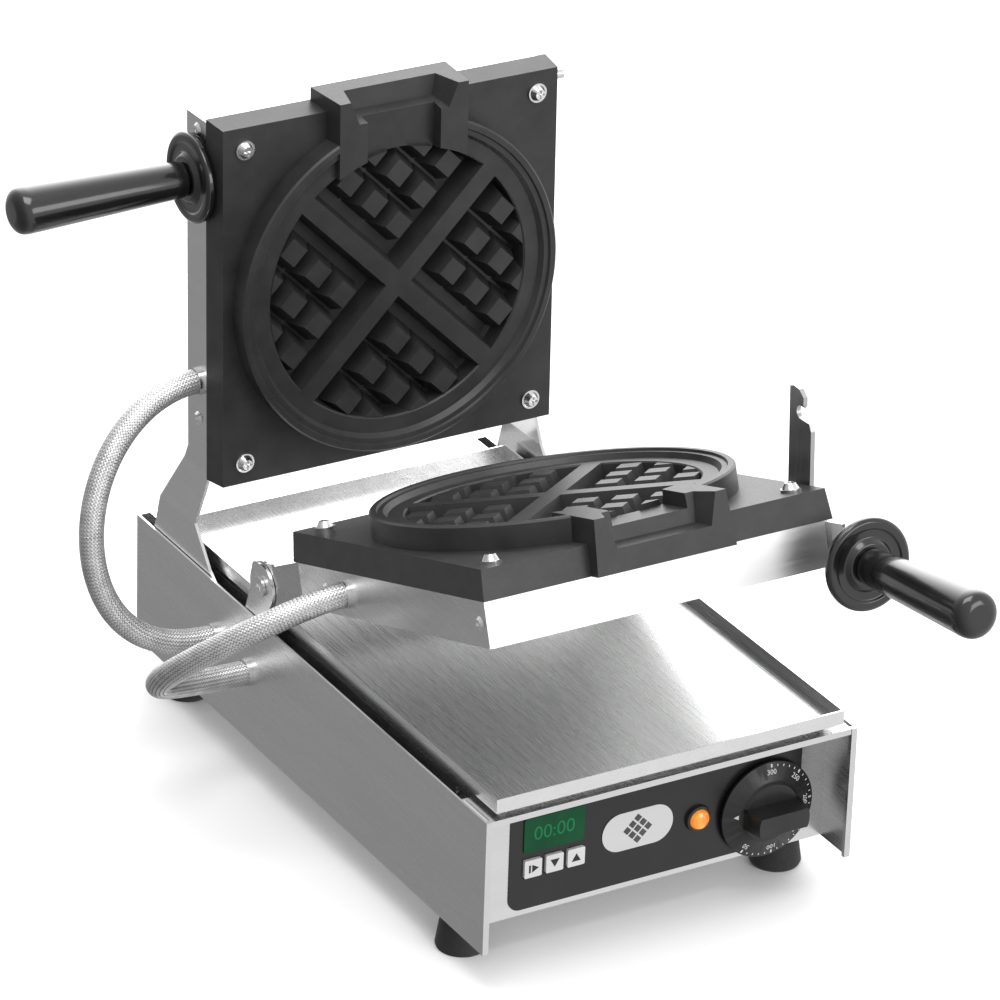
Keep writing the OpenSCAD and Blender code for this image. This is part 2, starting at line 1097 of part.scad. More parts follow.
// Stepped flange turned about +Z, its face at z = 0.
module flange(hub_r, hub_h) {
    r = flange_dia / 2;
    rotate_extrude()
        polygon([
            [0, -8 - hub_h], [hub_r, -8 - hub_h], [hub_r, -8], [r - 1.5, -8], [r, -6.5],
            [r, -3.6], [r - 2, -2], [r - 6, -2], [r - 7, -3.2], [17, -3.2], [14, 0], [0, 0]
        ]);
}

// Tapered grip turned about +Z with a domed end.
module grip() {
    r = grip_dia / 2;
    rotate_extrude()
        polygon([
            [0, 0], [11.5, 0], [r, grip_l - 8], [r - 0.9, grip_l - 4],
            [r - 3.6, grip_l - 1.4], [r - 7, grip_l], [0, grip_l]
        ]);
}

module lower_handle_flange() {
    color(black)
        lower_frame()
            handle_frame()
                flange(21, 11);
}

module lower_handle_grip() {
    color(black)
        lower_frame()
            handle_frame()
                grip();
}

// Shoulder screw and spacer that the latch turns on.
module latch_screw() {
    color(bright)
        lower_frame()
            translate([0, latch_y, latch_v]) {
                rod_x(pivot_r, 112, 126.2);
                rod_x(7, 119, 122.1);
                rod_x(7, 125.9, 128.2);
            }
}

// Flat hook; its notch opens forward and its nose is rounded.
module latch_hook() {
    color(steel)
        lower_frame()
            translate([0, latch_y, latch_v])
                rotate([latch_rest, 0, 0])
                    plate_x(latch_in, latch_in + latch_t)
                        difference() {
                            union() {
                                circle(r = 12);
                                polygon([
                                    [12, 0], [12, 94], [8, 95.5], [2, 95], [-3, 91], [-3, 86],
                                    [-9, 84], [-9, 78], [-12, 72], [-12, 0]
                                ]);
                            }
                            circle(r = pivot_r + running);
                            translate([0, latch_reach])
                                circle(r = pin_r + 0.8);
                            translate([-14, latch_reach - pin_r - 0.8])
                                square([14, 2 * pin_r + 1.6]);
                        }
}

// ---- upper half ----

module upper_casting() {
    color(iron)
        upper_frame()
            turned_over()
                casting();
}

module upper_housing() {
    color(bright)
        upper_frame()
            turned_over()
                housing();
}

module upper_heater() {
    color(bakelite)
        upper_frame()
            turned_over()
                heater();
}

module upper_clamp_plate() {
    color(steel)
        upper_frame()
            turned_over()
                clamp_plate();
}

module upper_insulation() {
    color(wool)
        upper_frame()
            turned_over()
                insulation();
}

module upper_arm_left() {
    color(bright)
        upper_frame()
            upper_arm();
}

module upper_arm_right() {
    color(bright)
        upper_frame()
            right_hand()
                upper_arm();
}

module upper_plate_screws() {
    color(bright)
        upper_frame()
            turned_over()
                plate_screws();
}

module upper_side_screws() {
    color(bright)
        upper_frame()
            turned_over()
                for (y = [-268, -72]) {
                    side_screw(y, exit_v);
                    right_hand()
                        side_screw(y, exit_v);
                }
}

module upper_handle_flange() {
    color(black)
        upper_frame()
            translate([-129, -237, 2 * parting - exit_v])
                rotate([0, -90, 0])
                    flange(14, 2);
}

module upper_handle_grip() {
    color(black)
        upper_frame()
            translate([-129, -237, 2 * parting - exit_v])
                rotate([0, -90, 0])
                    grip();
}

// Pin on the upper half that the hook catches.
module latch_pin() {
    color(bright)
        upper_frame()
            translate([0, pin_y, pin_v])
                rod_x(pin_r, 120.4, 126.2);
}

bottom_plate();
side_panel_left();
side_panel_right();
front_panel();
rear_panel();
rear_cover();
inner_chassis();
drip_pan();
hinge_bracket_left();
hinge_bracket_right();
pivot_bolts();
rubber_feet();
foot_screws();
control_overlay();
display_window();
timer_board();
key_start();
key_down();
key_up();
name_plate();
pilot_lens();
pilot_bezel();
thermostat_body();
thermostat_knob();
knob_shaft();
cable_gland();
terminal_block();
contactor();
panel_glands();
conduit_upper();
conduit_lower();
lower_casting();
lower_housing();
lower_heater();
lower_clamp_plate();
lower_insulation();
lower_arm_left();
lower_arm_right();
lower_plate_screws();
lower_side_screws();
lower_probe();
lower_ferrule();
lower_handle_bracket();
lower_handle_flange();
lower_handle_grip();
latch_screw();
latch_hook();
upper_casting();
upper_housing();
upper_heater();
upper_clamp_plate();
upper_insulation();
upper_arm_left();
upper_arm_right();
upper_plate_screws();
upper_side_screws();
upper_ferrule();
upper_handle_flange();
upper_handle_grip();
latch_pin();
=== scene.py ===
"""Looks of the two-plate waffle baker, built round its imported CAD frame.

Lengths in the helpers are millimetres of the CAD model, whose origin is on the floor below the
middle of the side panels' front edges; spot() turns such a point into the shared frame, in metres.
"""

import json
import math

import bmesh
import bpy
import numpy as np
from mathutils import Matrix, Vector

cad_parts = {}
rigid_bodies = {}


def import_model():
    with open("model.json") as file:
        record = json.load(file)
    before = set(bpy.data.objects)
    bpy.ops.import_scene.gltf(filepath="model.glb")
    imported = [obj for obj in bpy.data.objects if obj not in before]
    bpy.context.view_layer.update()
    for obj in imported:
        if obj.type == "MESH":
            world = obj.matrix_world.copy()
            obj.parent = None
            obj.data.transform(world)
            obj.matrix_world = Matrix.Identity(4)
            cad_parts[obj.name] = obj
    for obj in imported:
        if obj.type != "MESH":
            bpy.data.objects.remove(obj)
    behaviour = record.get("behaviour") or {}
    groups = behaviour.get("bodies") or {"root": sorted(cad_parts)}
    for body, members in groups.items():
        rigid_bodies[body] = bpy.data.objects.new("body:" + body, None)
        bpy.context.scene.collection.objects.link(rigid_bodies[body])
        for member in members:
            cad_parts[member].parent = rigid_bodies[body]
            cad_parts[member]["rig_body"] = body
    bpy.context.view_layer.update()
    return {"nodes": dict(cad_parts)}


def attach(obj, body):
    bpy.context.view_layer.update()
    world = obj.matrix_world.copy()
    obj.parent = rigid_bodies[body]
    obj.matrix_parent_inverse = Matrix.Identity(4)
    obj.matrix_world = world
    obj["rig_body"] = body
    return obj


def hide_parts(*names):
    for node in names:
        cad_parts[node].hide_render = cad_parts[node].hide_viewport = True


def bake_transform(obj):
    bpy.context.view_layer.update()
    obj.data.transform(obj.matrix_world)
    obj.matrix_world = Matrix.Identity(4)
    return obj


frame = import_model()

MM = 0.001
ORIGIN = Vector((-46.437, 169.251, 0))
HINGE = (0, 286.2, 139.9)
LOWER_TILT = 19.02
OPENING = 72.25
PARTING = 52.4
HOUSING_MIDDLE = 3.3
OVERLAY_Y = 30.2
KEY_Y = OVERLAY_Y - 1.8
DISPLAY_Y = OVERLAY_Y - 0.8
BADGE_Y = OVERLAY_Y - 0.6
FLAT_ANGLE = math.radians(0.4)
SMOOTH_ANGLE = math.radians(32)
FACET_ANGLE = math.radians(14)


# ---- placing ----

def spot(x, y, z):
    """A point of the CAD model in the shared frame."""
    return (Vector((x, y, z)) - ORIGIN) * MM


def turned(x=0, y=0, z=0):
    """Rotation by degrees about X, then Y, then Z."""
    return (
        Matrix.Rotation(math.radians(z), 4, "Z")
        @ Matrix.Rotation(math.radians(y), 4, "Y")
        @ Matrix.Rotation(math.radians(x), 4, "X")
    )


def moved(x, y, z):
    return Matrix.Translation(Vector((x, y, z)))


BASE = Matrix.Translation(spot(0, 0, 0)) @ Matrix.Scale(MM, 4)
LOWER = BASE @ moved(*HINGE) @ turned(x=-LOWER_TILT)
UPPER = BASE @ moved(*HINGE) @ turned(x=-LOWER_TILT - OPENING)
LOWER_HANDLE = LOWER @ moved(125, -311, -9.5) @ turned(x=99, z=-1)
UPPER_HANDLE = UPPER @ moved(-129, -237, 2 * PARTING - HOUSING_MIDDLE) @ turned(y=-90)
DIAL = BASE @ moved(85, 29.2, 57.5) @ turned(x=90)


# ---- camera, floor and light ----

CAMERA_AT = Vector((-1.65035, -2.78607, 1.8542))
CAMERA_ANGLES = (0.5399, 0.4637, 0.034)
FOCAL_LENGTH = 214.97


def add_camera():
    """A long lens from the front left, tilted down and rolled a little."""
    azimuth, elevation, roll = CAMERA_ANGLES
    ahead = Vector((
        math.sin(azimuth) * math.cos(elevation),
        math.cos(azimuth) * math.cos(elevation),
        -math.sin(elevation),
    ))
    right = ahead.cross(Vector((0, 0, 1))).normalized()
    up = right.cross(ahead)
    side = math.cos(roll) * right + math.sin(roll) * up
    top = math.cos(roll) * up - math.sin(roll) * right
    data = bpy.data.cameras.new("camera")
    data.lens = FOCAL_LENGTH
    data.sensor_width = 36
    data.clip_end = 50
    camera = bpy.data.objects.new("camera", data)
    camera.matrix_world = Matrix((
        (side.x, top.x, -ahead.x, CAMERA_AT.x),
        (side.y, top.y, -ahead.y, CAMERA_AT.y),
        (side.z, top.z, -ahead.z, CAMERA_AT.z),
        (0, 0, 0, 1),
    ))
    bpy.context.scene.collection.objects.link(camera)
    bpy.context.scene.camera = camera


FLOOR_HALF = 12
ROOM_LEAN = (0.5, -0.15, 0.35)
# how far a direction leans that way, and the room's strength there
ROOM_DARK = (-0.7, 0.3)
ROOM_LIGHT = (0.3, 1.2)
WINDOW_TOWARDS = (0.46, 0.767, 0.4475)
WINDOW_NARROWNESS = 5
WINDOW_STRENGTH = 4


def add_world():
    """White to the camera; elsewhere a room that is dark to the left and below, with a broad
    bright window high up behind and to the right."""
    world = bpy.data.worlds.new("studio")
    bpy.context.scene.world = world
    world.use_nodes = True
    nodes, links = world.node_tree.nodes, world.node_tree.links
    nodes.clear()
    place = nodes.new("ShaderNodeTexCoord")
    lean = nodes.new("ShaderNodeVectorMath")
    lean.operation = "DOT_PRODUCT"
    lean.inputs[1].default_value = ROOM_LEAN
    ramp = nodes.new("ShaderNodeMapRange")
    ramp.interpolation_type = "SMOOTHSTEP"
    ramp.inputs["From Min"].default_value, ramp.inputs["To Min"].default_value = ROOM_DARK
    ramp.inputs["From Max"].default_value, ramp.inputs["To Max"].default_value = ROOM_LIGHT
    window = nodes.new("ShaderNodeVectorMath")
    window.operation = "DOT_PRODUCT"
    window.inputs[1].default_value = WINDOW_TOWARDS
    facing = nodes.new("ShaderNodeMath")
    facing.operation = "MAXIMUM"
    facing.inputs[1].default_value = 0
    narrow = nodes.new("ShaderNodeMath")
    narrow.operation = "POWER"
    narrow.inputs[1].default_value = WINDOW_NARROWNESS
    glow = nodes.new("ShaderNodeMath")
    glow.operation = "MULTIPLY_ADD"
    glow.inputs[1].default_value = WINDOW_STRENGTH
    room = nodes.new("ShaderNodeBackground")
    white = nodes.new("ShaderNodeBackground")
    white.inputs["Color"].default_value = (1, 1, 1, 1)
    white.inputs["Strength"].default_value = 1.0
    path = nodes.new("ShaderNodeLightPath")
    mix = nodes.new("ShaderNodeMixShader")
    out = nodes.new("ShaderNodeOutputWorld")
    links.new(place.outputs["Generated"], lean.inputs[0])
    links.new(lean.outputs["Value"], ramp.inputs["Value"])
    links.new(place.outputs["Generated"], window.inputs[0])
    links.new(window.outputs["Value"], facing.inputs[0])
    links.new(facing.outputs[0], narrow.inputs[0])
    links.new(narrow.outputs[0], glow.inputs[0])
    links.new(ramp.outputs["Result"], glow.inputs[2])
    links.new(glow.outputs[0], room.inputs["Strength"])
    links.new(path.outputs["Is Camera Ray"], mix.inputs["Fac"])
    links.new(room.outputs[0], mix.inputs[1])
    links.new(white.outputs[0], mix.inputs[2])
    links.new(mix.outputs[0], out.inputs["Surface"])


def add_light(name, place, target, width, depth, power):
    data = bpy.data.lights.new(name, "AREA")
    data.shape = "RECTANGLE"
    data.size, data.size_y = width, depth
    data.energy = power
    lamp = bpy.data.objects.new(name, data)
    lamp.location = place
    lamp.rotation_mode = "QUATERNION"
    lamp.rotation_quaternion = (Vector(target) - Vector(place)).to_track_quat("-Z", "Y")
    bpy.context.scene.collection.objects.link(lamp)


def add_floor():
    """A wide pale floor that takes the shadow but lights nothing."""
    mesh = bpy.data.meshes.new("floor")
    s = FLOOR_HALF
    mesh.from_pydata([(-s, -s, 0), (s, -s, 0), (s, s, 0), (-s, s, 0)], [], [(0, 1, 2, 3)])
    floor = bpy.data.objects.new("floor", mesh)
    bpy.context.scene.collection.objects.link(floor)
    floor.visible_glossy = False
    floor.visible_diffuse = False
    mat = bpy.data.materials.new("floor")
    mat.use_nodes = True
    shader = mat.node_tree.nodes["Principled BSDF"]
    shader.inputs["Base Color"].default_value = (0.93, 0.93, 0.93, 1)
    shader.inputs["Roughness"].default_value = 0.9
    shader.inputs["Specular IOR Level"].default_value = 0.1
    mesh.materials.append(mat)


add_camera()
bpy.context.scene.view_settings.view_transform = "Standard"
add_world()
add_floor()
add_light("soft_top", (-0.3, -0.5, 2.3), (0, 0, 0.2), 1.6, 1.2, 26)
add_light("fill_front", (0.9, -2.2, 1.0), (0, 0, 0.2), 1.2, 1.0, 12)


# ---- materials ----

def surface(name, dark, light, rough, metallic=0.0, mottle=(40, 40, 40), grain=(900, 900, 900),
            bump=0.02, **sockets):
    """Principled material: slow noise runs the colour from dark to light and the roughness over
    rough, and fine noise makes the bump, whose height is in millimetres. The two noise scales
    are in cycles per metre along X, Y and Z."""
    mat = bpy.data.materials.new(name)
    mat.use_nodes = True
    nodes, links = mat.node_tree.nodes, mat.node_tree.links
    shader = nodes["Principled BSDF"]
    place = nodes.new("ShaderNodeTexCoord")

    def noise(scale, detail):
        fit = nodes.new("ShaderNodeMapping")
        fit.inputs["Scale"].default_value = scale
        tex = nodes.new("ShaderNodeTexNoise")
        tex.inputs["Scale"].default_value = 1
        tex.inputs["Detail"].default_value = detail
        links.new(place.outputs["Object"], fit.inputs["Vector"])
        links.new(fit.outputs["Vector"], tex.inputs["Vector"])
        return tex.outputs["Fac"]

    slow, fine = noise(mottle, 3), noise(grain, 2)
    ramp = nodes.new("ShaderNodeValToRGB")
    ramp.color_ramp.elements[0].position = 0.3
    ramp.color_ramp.elements[1].position = 0.7
    ramp.color_ramp.elements[0].color = (*dark, 1)
    ramp.color_ramp.elements[1].color = (*light, 1)
    links.new(slow, ramp.inputs["Fac"])
    links.new(ramp.outputs["Color"], shader.inputs["Base Color"])
    span = nodes.new("ShaderNodeMapRange")
    span.inputs["From Min"].default_value = 0.3
    span.inputs["From Max"].default_value = 0.7
    span.inputs["To Min"].default_value = rough[0]
    span.inputs["To Max"].default_value = rough[1]
    links.new(fine, span.inputs["Value"])
    links.new(span.outputs["Result"], shader.inputs["Roughness"])
    if bump:
        relief = nodes.new("ShaderNodeBump")
        relief.inputs["Strength"].default_value = 1
        relief.inputs["Distance"].default_value = bump * MM
        links.new(fine, relief.inputs["Height"])
        links.new(relief.outputs["Normal"], shader.inputs["Normal"])
    shader.inputs["Metallic"].default_value = metallic
    for socket, value in sockets.items():
        shader.inputs[socket.replace("_", " ")].default_value = value
    return mat


def grey(value, warm=0.0):
    """A grey, a little warmer or cooler."""
    return (value * (1 + warm), value, value * (1 - warm))


def brushed(name, value, rough, along, bump=0.004):
    """Brushed stainless steel with its grain along one axis."""
    slow = [70, 70, 70]
    fine = [1500, 1500, 1500]
    slow["XYZ".index(along)] = 6
    fine["XYZ".index(along)] = 14
    return surface(name, grey(value * 0.94), grey(value), rough, 1.0, slow, fine, bump)


STEEL_Y = brushed("brushed_steel_y", 0.72, (0.24, 0.34), "Y")
STEEL_X = brushed("brushed_steel_x", 0.74, (0.2, 0.3), "X")
HOUSING = brushed("bright_housing", 0.86, (0.36, 0.46), "X")
PAN = brushed("polished_pan", 0.8, (0.24, 0.32), "Y", 0.001)
ARM = brushed("arm_sheet", 0.74, (0.2, 0.28), "Y")
HOOK = brushed("ground_hook", 0.5, (0.28, 0.4), "Z")
CLAMP = brushed("mill_clamp", 0.6, (0.35, 0.5), "X")
ZINC = surface("bright_zinc", grey(0.66, 0.01), grey(0.8), (0.14, 0.24), 1.0,
               (220, 220, 220), (1400, 1400, 1400), 0.003)
IRON = surface("cast_iron", grey(0.02), grey(0.032), (0.36, 0.48), 0.0,
               (55, 55, 55), (1300, 1300, 1300), 0.035, Specular_IOR_Level=0.45)
WIRE = surface("braid_wire", grey(0.62), grey(0.8), (0.38, 0.5), 1.0,
               (120, 120, 120), (900, 900, 900), 0.004)
LINER = surface("braid_liner", grey(0.05), grey(0.1), (0.5, 0.7), 0.4, bump=0.02)
RUBBER = surface("foot_rubber", grey(0.018), grey(0.03), (0.6, 0.78), bump=0.03)
FILM = surface("overlay_film", grey(0.008), grey(0.012), (0.26, 0.36), 0.0,
               (30, 30, 30), (2200, 2200, 2200), 0.004)
GLASS = surface("display_glass", (0.001, 0.06, 0.022), (0.003, 0.1, 0.036), (0.38, 0.46),
                bump=0.0, Specular_IOR_Level=0.2)
SEGMENT = surface("display_segment", (0.006, 0.2, 0.07), (0.01, 0.26, 0.09), (0.38, 0.46), bump=0.0,
                  Specular_IOR_Level=0.2)
KEY = surface("key_plastic", grey(0.78), grey(0.86), (0.4, 0.5), bump=0.008)
PRINT = surface("black_print", grey(0.01), grey(0.02), (0.4, 0.5), bump=0.004)
WHITE_PRINT = surface("white_print", grey(0.8), grey(0.9), (0.45, 0.55), bump=0.004)
BOARD = surface("circuit_board", (0.01, 0.13, 0.05), (0.03, 0.22, 0.1), (0.3, 0.45), bump=0.01)
LENS = surface("amber_lens", (0.85, 0.2, 0.01), (1.0, 0.42, 0.03), (0.08, 0.14), 0.0,
               (180, 180, 180), bump=0.01, Coat_Weight=1.0, Coat_Roughness=0.04,
               Emission_Color=(1.0, 0.25, 0.02, 1), Emission_Strength=0.45)
BLACK = surface("satin_black_plastic", grey(0.012), grey(0.02), (0.3, 0.42), 0.0,
                (60, 60, 60), (1500, 1500, 1500), 0.012)
HANDLE = surface("gloss_black_handle", grey(0.006), grey(0.01), (0.16, 0.24), 0.0,
                 (50, 50, 50), (700, 700, 700), 0.004, Coat_Weight=0.6, Coat_Roughness=0.08)
BADGE = brushed("badge_plate", 0.76, (0.28, 0.4), "X")
BADGE_INK = surface("badge_ink", grey(0.06), grey(0.1), (0.4, 0.5), 0.3, bump=0.004)
BAKELITE = surface("bakelite", (0.4, 0.34, 0.26), (0.55, 0.48, 0.38), (0.4, 0.55), bump=0.02)
TERMINAL = surface("terminal_plastic", (0.74, 0.74, 0.7), (0.82, 0.82, 0.78), (0.4, 0.5), bump=0.01)
SHEATH = surface("heater_sheath", (0.34, 0.3, 0.26), (0.46, 0.43, 0.42), (0.35, 0.5), 1.0,
                 (90, 90, 90), (900, 900, 900), 0.01)
WOOL = surface("mineral_wool", (0.6, 0.56, 0.44), (0.78, 0.75, 0.66), (0.85, 0.98), 0.0,
               (260, 260, 60), (1400, 1400, 300), 0.3)

MATERIALS = {
    STEEL_Y: ["side_panel_left", "side_panel_right"],
    STEEL_X: ["front_panel", "rear_panel", "rear_cover", "inner_chassis", "bottom_plate",
              "hinge_bracket_left", "hinge_bracket_right"],
    PAN: ["drip_pan"],
    HOUSING: ["lower_housing", "upper_housing"],
    ARM: ["lower_arm_left", "lower_arm_right", "upper_arm_left", "upper_arm_right",
          "lower_handle_bracket"],
    HOOK: ["latch_hook"],
    CLAMP: ["lower_clamp_plate", "upper_clamp_plate"],
    ZINC: ["pivot_bolts", "foot_screws", "knob_shaft", "panel_glands", "lower_plate_screws",
           "lower_side_screws", "lower_probe", "lower_ferrule", "latch_screw",
           "upper_plate_screws", "upper_side_screws", "upper_ferrule", "latch_pin"],
    IRON: ["lower_casting", "upper_casting"],
    RUBBER: ["rubber_feet"],
    FILM: ["control_overlay"],
    GLASS: ["display_window"],
    BOARD: ["timer_board"],
    KEY: ["key_start", "key_down", "key_up"],
    BADGE: ["name_plate"],
    LENS: ["pilot_lens"],
    BLACK: ["pilot_bezel", "thermostat_knob", "cable_gland"],
    BAKELITE: ["thermostat_body", "contactor"],
    TERMINAL: ["terminal_block"],
    HANDLE: ["lower_handle_flange", "lower_handle_grip", "upper_handle_flange",
             "upper_handle_grip"],
    WIRE: ["conduit_upper", "conduit_lower"],
    SHEATH: ["lower_heater", "upper_heater"],
    WOOL: ["lower_insulation", "upper_insulation"],
}
FINISH = {node: mat for mat, nodes in MATERIALS.items() for node in nodes}


# ---- building meshes ----

def add_piece(name, mesh, materials, body):
    """Links a finished mesh, given in the shared frame, as a piece that rides on a body."""
    for mat in materials:
        mesh.materials.append(mat)
    piece = bpy.data.objects.new(name, mesh)
    bpy.context.scene.collection.objects.link(piece)
    if body:
        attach(piece, body)
    return piece


def shade(mesh, angle=SMOOTH_ANGLE):
    """Smooth shading with sharp edges above an angle."""
    mesh.shade_smooth()
    mesh.set_sharp_from_angle(angle=angle)


def softened(node, width, segments=2, angle=28):
    """A copy of a CAD node with its outer edges rounded by width millimetres, which replaces it."""
    source = frame["nodes"][node]
    bm = bmesh.new()
    bm.from_mesh(source.data)
    bmesh.ops.remove_doubles(bm, verts=bm.verts, dist=0.002 * MM)
    bmesh.ops.dissolve_limit(bm, angle_limit=FLAT_ANGLE, verts=bm.verts, edges=bm.edges)
    bmesh.ops.triangulate(bm, faces=[f for f in bm.faces if len(f.verts) > 4])
    bmesh.ops.recalc_face_normals(bm, faces=bm.faces)
    edges = [
        e for e in bm.edges
        if len(e.link_faces) == 2 and e.calc_face_angle_signed() > math.radians(angle)
    ]
    bmesh.ops.bevel(bm, geom=edges, offset=width * MM, segments=segments, profile=0.5,
                    affect="EDGES", clamp_overlap=True)
    mesh = bpy.data.meshes.new(node + "_soft")
    bm.to_mesh(mesh)
    bm.free()
    shade(mesh, FACET_ANGLE)
    piece = add_piece(node + "_soft", mesh, [FINISH[node]], source["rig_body"])
    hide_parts(node)
    return piece


def rounded(profile, radius, steps=4):
    """A profile whose inner corners are cut by short curves."""
    points = [Vector(profile[0])]
    for before, here, after in zip(profile, profile[1:], profile[2:]):
        here = Vector(here)
        a, b = Vector(before) - here, Vector(after) - here
        cut = min(radius, a.length * 0.45, b.length * 0.45)
        a, b = here + a.normalized() * cut, here + b.normalized() * cut
        for i in range(steps + 1):
            t = i / steps
            points.append((1 - t) ** 2 * a + 2 * t * (1 - t) * here + t * t * b)
    return points + [Vector(profile[-1])]


def turned_mesh(name, profile, place, sides=96):
    """A profile of (radius, height) points turned about the Z axis of a placing."""
    bm = bmesh.new()
    rings = []
    for r, z in profile:
        if r < 1e-6:
            rings.append([bm.verts.new((0, 0, z))])
            continue
        rings.append([
            bm.verts.new((r * math.cos(a), r * math.sin(a), z))
            for a in (k * math.tau / sides for k in range(sides))
        ])
    for low, high in zip(rings, rings[1:]):
        for k in range(sides):
            n = (k + 1) % sides
            corners = [
                low[k % len(low)], low[n % len(low)], high[n % len(high)], high[k % len(high)],
            ]
            unique = list(dict.fromkeys(corners))
            if len(unique) > 2:
                bm.faces.new(unique)
    bmesh.ops.recalc_face_normals(bm, faces=bm.faces)
    mesh = bpy.data.meshes.new(name)
    bm.to_mesh(mesh)
    bm.free()
    mesh.transform(place)
    shade(mesh)
    return mesh


# ---- conduits ----

HOSE_R = 7.7
LINER_R = HOSE_R - 0.45
LINER_SIDES = 24
WEAVE = 0.28
CROWN = 0.07
STRANDS = 20
LEAD = 46
RIBBON = 1.25


def bezier(p, t):
    """Points at t of the Bezier curve with any number of control points."""
    level = [np.repeat([q], len(t), axis=0) for q in np.array(p, float)]
    t = t[:, None]
    while len(level) > 1:
        level = [(1 - t) * a + t * b for a, b in zip(level, level[1:])]
    return level[0]


class Route:
    """A stretch of a hose's centreline by distance along the whole hose, in CAD millimetres."""

    def __init__(self, control, start=0.0, end=1.0):
        self.line = bezier(control, np.linspace(0, 1, 801))
        steps = np.linalg.norm(np.diff(self.line, axis=0), axis=1)
        self.along = np.concatenate([[0], np.cumsum(steps)])
        self.whole = self.along[-1]
        self.start, self.end = start * self.whole, end * self.whole
        tangent = np.gradient(self.line, axis=0)
        tangent /= np.linalg.norm(tangent, axis=1)[:, None]
        side = np.cross(tangent, [0, 1, 0])
        self.side = side / np.linalg.norm(side, axis=1)[:, None]
        self.up = np.cross(self.side, tangent)

    def _at(self, values, s):
        return np.stack([np.interp(s, self.along, values[:, i]) for i in range(3)], axis=-1)

    def wall(self, s, angle, radius):
        """Points on the hose's wall at distance s, angle and radius."""
        s = np.clip(s, 0, self.whole)
        ring = np.cos(angle)[..., None] * self._at(self.side, s)
        ring += np.sin(angle)[..., None] * self._at(self.up, s)
        return self._at(self.line, s) + radius[..., None] * ring

    def points(self, count):
        """Centreline points in the shared frame."""
        s = np.linspace(self.start, self.end, count)
        return [spot(*p) for p in self._at(self.line, s)]


def grid_faces(first, rows, columns, closed):
    """Quads over a rows by columns block of vertices."""
    faces = []
    for i in range(rows - 1):
        for k in range(columns if closed else columns - 1):
            n = (k + 1) % columns
            a = first + i * columns
            faces.append((a + k, a + n, a + columns + n, a + columns + k))
    return faces


def braided(name, route):
    """Dark liner tube under flat wires that weave over and under each other both ways round."""
    steps = max(8, int((route.end - route.start) / 3))
    ring = LINER_SIDES
    s = np.linspace(route.start, route.end, steps)
    angle = np.arange(ring) * math.tau / ring
    liner = route.wall(
        np.repeat(s, ring), np.tile(angle, steps), np.full(steps * ring, LINER_R)
    )
    points, faces = [liner], grid_faces(0, steps, ring, True)
    liner_faces, count = len(faces), len(liner)
    samples = int((route.end - route.start) / (LEAD / STRANDS) * 4)
    s = np.linspace(route.start, route.end, samples)
    pitch = math.tau * HOSE_R / LEAD
    norm = math.hypot(1, pitch)
    for way in (1, -1):
        for strand in range(STRANDS):
            angle = way * math.tau * s / LEAD + math.tau * strand / STRANDS
            wave = way * WEAVE * np.cos(math.tau * s * STRANDS / LEAD)
            block = []
            for offset, crown in ((-0.5, -CROWN), (0.0, CROWN), (0.5, -CROWN)):
                w = offset * RIBBON
                at = np.clip(s - way * pitch * w / norm, route.start, route.end)
                block.append(route.wall(at, angle + w / (HOSE_R * norm), HOSE_R + wave + crown))
            points.append(np.stack(block, axis=1).reshape(-1, 3))
            faces += grid_faces(count, samples, 3, False)
            count += samples * 3
    points = (np.concatenate(points) - np.array(ORIGIN)) * MM
    mesh = bpy.data.meshes.new(name)
    mesh.from_pydata(points.tolist(), [], faces)
    mesh.polygons.foreach_set(
        "material_index", [0] * liner_faces + [1] * (len(faces) - liner_faces)
    )
    mesh.shade_smooth()
    return add_piece(name, mesh, [LINER, WIRE], None)


def add_hose(name, route, node, back=False):
    """Builds a braided stretch of hose along a route and hides the CAD conduit node it stands in
    for.
    """
    piece = braided(name, route)
    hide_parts(node)
    line = route.points(40)
    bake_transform(piece)
    if back:
        line = line[::-1]


UPPER_HOSE = [
    (-120.2, 389.85, 235.63), (-155.2, 389.85, 235.63), (-230.2, 379.85, 215.63),
    (-241.2, 344, 88), (-176.2, 344, 78), (-131.2, 344, 78),
]
LOWER_HOSE = [
    (-120.2, 194.6, 175.0), (-165.2, 194.6, 175.0), (-230.2, 204.6, 140.0),
    (-256.2, 299, 79), (-166.2, 299, 74), (-131.2, 299, 74),
]
add_hose("conduit_upper_top", Route(UPPER_HOSE, 0, 0.5), "conduit_upper")
add_hose("conduit_upper_foot", Route(UPPER_HOSE, 0.5, 1), "conduit_upper",
         back=True)
add_hose("conduit_lower_braid", Route(LOWER_HOSE), "conduit_lower")


# ---- CAD nodes ----

for name, node in frame["nodes"].items():
    node.data.materials.clear()
    node.data.materials.append(FINISH[name])


# ---- handles ----

GRIP = rounded([(0, 0), (11.5, 0), (15, 110), (14.1, 114), (11.4, 116.6), (8, 118), (0, 118)], 3)


def flange(hub_r, hub_h):
    return rounded([
        (0, -8 - hub_h), (hub_r, -8 - hub_h), (hub_r, -8), (27.5, -8), (29, -6.5), (29, -3.6),
        (27, -2), (23, -2), (22, -3.2), (17, -3.2), (14, 0), (0, 0),
    ], 0.8)


for half_name, place, hub in (("lower", LOWER_HANDLE, (21, 11)), ("upper", UPPER_HANDLE, (14, 2))):
    for part, profile in (("grip", GRIP), ("flange", flange(*hub))):
        node = f"{half_name}_handle_{part}"
        mesh = turned_mesh(node + "_turned", profile, place)
        piece = add_piece(node + "_turned", mesh, [HANDLE], half_name + "_half")
        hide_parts(node)


# ---- dial, keys, display and name plate ----

